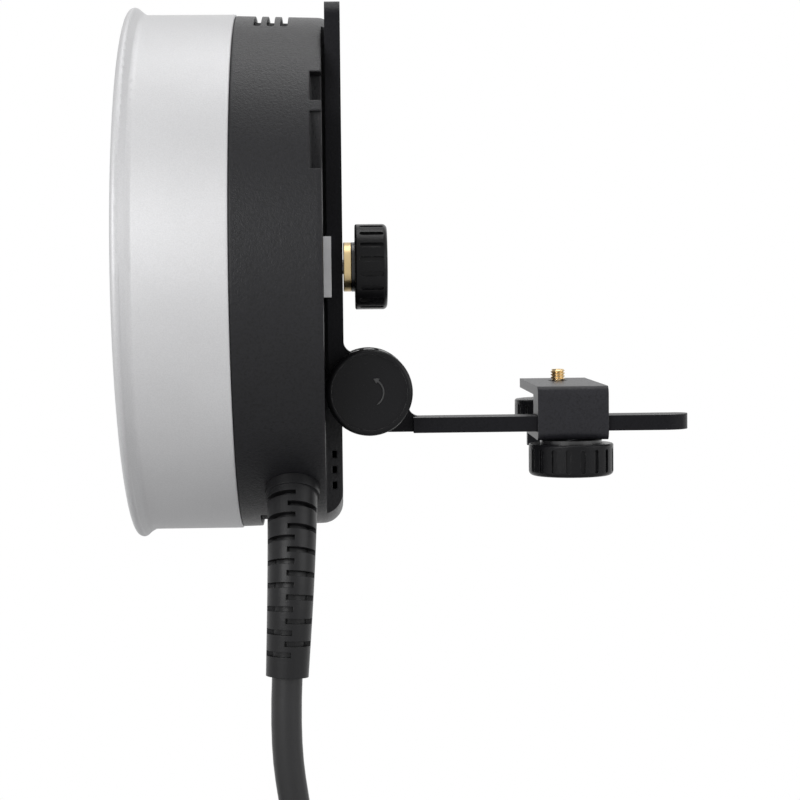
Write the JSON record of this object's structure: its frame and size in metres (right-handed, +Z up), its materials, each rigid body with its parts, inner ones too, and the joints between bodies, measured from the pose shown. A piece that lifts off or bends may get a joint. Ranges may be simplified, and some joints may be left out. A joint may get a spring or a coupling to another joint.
{
  "type": "ring flash head",
  "caption": "Ring flash head with a hinged, sliding camera bracket, clamp knobs, bend relief and a tied cable with its plug.",
  "frame": {"origin": "axis of the camera screw at the level of the camera platform, where the camera stands on the bracket", "axes": "+Z up along the camera screw, +X from the lit side to the viewer's side, along the lens axis, and -Y on the clamp bar's side"},
  "size_m": [0.3716, 0.231, 0.5464],
  "materials": {
    "black_moulding": "fine-textured satin black moulding",
    "screen_mesh": "fine black mesh",
    "silver_skin": "satin silver, fine blasted grain",
    "bright_reflector": "bright anodised",
    "clear_glass": "clear, polished",
    "spring_steel": "plain steel",
    "black_metal": "black powder coat",
    "quartz_tube": "clear quartz",
    "electrode_metal": "plain metal",
    "white_ceramic": "glazed white ceramic",
    "chassis_metal": "plain sheet",
    "potting": "potted resin",
    "board": "glass-fibre board",
    "capacitor_film": "film sleeve",
    "grey_guide": "matt silver-grey",
    "brass": "turned, polished",
    "black_knob": "satin black",
    "black_collar": "smooth black",
    "bolt_steel": "zinc plated",
    "black_bar": "black anodised",
    "washer_nylon": "nylon",
    "relief_rubber": "matt rubber",
    "cable_rubber": "matt rubber sheath",
    "strap_fabric": "woven hook-and-loop",
    "plug_shell": "satin black",
    "contact_metal": "gold-coloured plating"
  },
  "bodies": {
    "block": {"camera_block": "black_metal"},
    "arm": {"bracket_arm": "black_bar", "hinge_nut": "bolt_steel"},
    "bar": {"upright_bar": "black_bar", "hinge_washer": "washer_nylon"},
    "head": {"rear_housing": "black_moulding", "vent_screens": "screen_mesh", "reflector_skin": "silver_skin", "reflector_bowl": "bright_reflector", "front_glass": "clear_glass", "glass_retainer": "spring_steel", "lens_tunnel": "black_metal", "flash_tube": "quartz_tube", "tube_electrodes": "electrode_metal", "tube_terminals": "white_ceramic", "trigger_wire": "spring_steel", "tube_clips": "spring_steel", "modelling_lamps": "quartz_tube", "lamp_sockets": "white_ceramic", "bowl_standoffs": "bolt_steel", "chassis_plate": "chassis_metal", "rear_screws": "bolt_steel", "trigger_transformer": "potting", "circuit_board": "board", "trigger_capacitor": "capacitor_film", "terminal_block": "potting", "bar_guide": "grey_guide", "clamp_insert": "brass", "strain_relief": "relief_rubber", "gland_nut": "black_collar", "cable": "cable_rubber", "cable_coil": "cable_rubber", "coil_straps": "strap_fabric", "plug_boot": "relief_rubber", "plug_body": "plug_shell", "plug_pins": "contact_metal"},
    "camera_knob": {"camera_knob": "black_knob", "camera_screw": "brass", "captive_washer": "bolt_steel"},
    "arm_knob": {"arm_knob": "black_knob", "arm_knob_base": "black_collar", "arm_stud": "bolt_steel", "pressure_pad": "brass"},
    "hinge_knob": {"hinge_knob": "black_knob", "hinge_knob_base": "black_collar", "hinge_bolt": "bolt_steel"},
    "clamp_knob": {"clamp_knob": "black_knob", "clamp_brass_collar": "brass", "clamp_black_collar": "black_collar", "clamp_stud": "bolt_steel"},
    "plug_ring": {"plug_ring": "plug_shell"}
  },
  "joints": [
    {"name": "arm_slide", "type": "slide", "parent": "block", "child": "arm", "axis": [1, 0, 0], "range_m": [-0.03, 0.045]},
    {"name": "bracket_fold", "type": "hinge", "parent": "arm", "child": "bar", "pos_m": [-0.085, -0.05, -0.001], "axis": [0, 1, 0], "range_deg": [-15, 60]},
    {"name": "head_height", "type": "slide", "parent": "bar", "child": "head", "axis": [0, 0, 1], "range_m": [-0.015, 0.09]},
    {"name": "camera_knob_turn", "type": "hinge", "parent": "block", "child": "camera_knob", "pos_m": [0, 0, 0], "axis": [0, 0, 1], "continuous": true},
    {"name": "arm_knob_turn", "type": "hinge", "parent": "block", "child": "arm_knob", "pos_m": [0, -0.05, -0.03], "axis": [0, 0, 1], "continuous": true},
    {"name": "hinge_knob_turn", "type": "hinge", "parent": "bar", "child": "hinge_knob", "pos_m": [-0.085, -0.06, -0.001], "axis": [0, 1, 0], "continuous": true},
    {"name": "clamp_knob_turn", "type": "hinge", "parent": "head", "child": "clamp_knob", "pos_m": [-0.085, -0.05, 0.0506], "axis": [1, 0, 0], "continuous": true},
    {"name": "plug_ring_turn", "type": "hinge", "parent": "head", "child": "plug_ring", "pos_m": [-0.3059, -0.0745, -0.225], "axis": [0, 0, 1], "continuous": true}
  ]
}
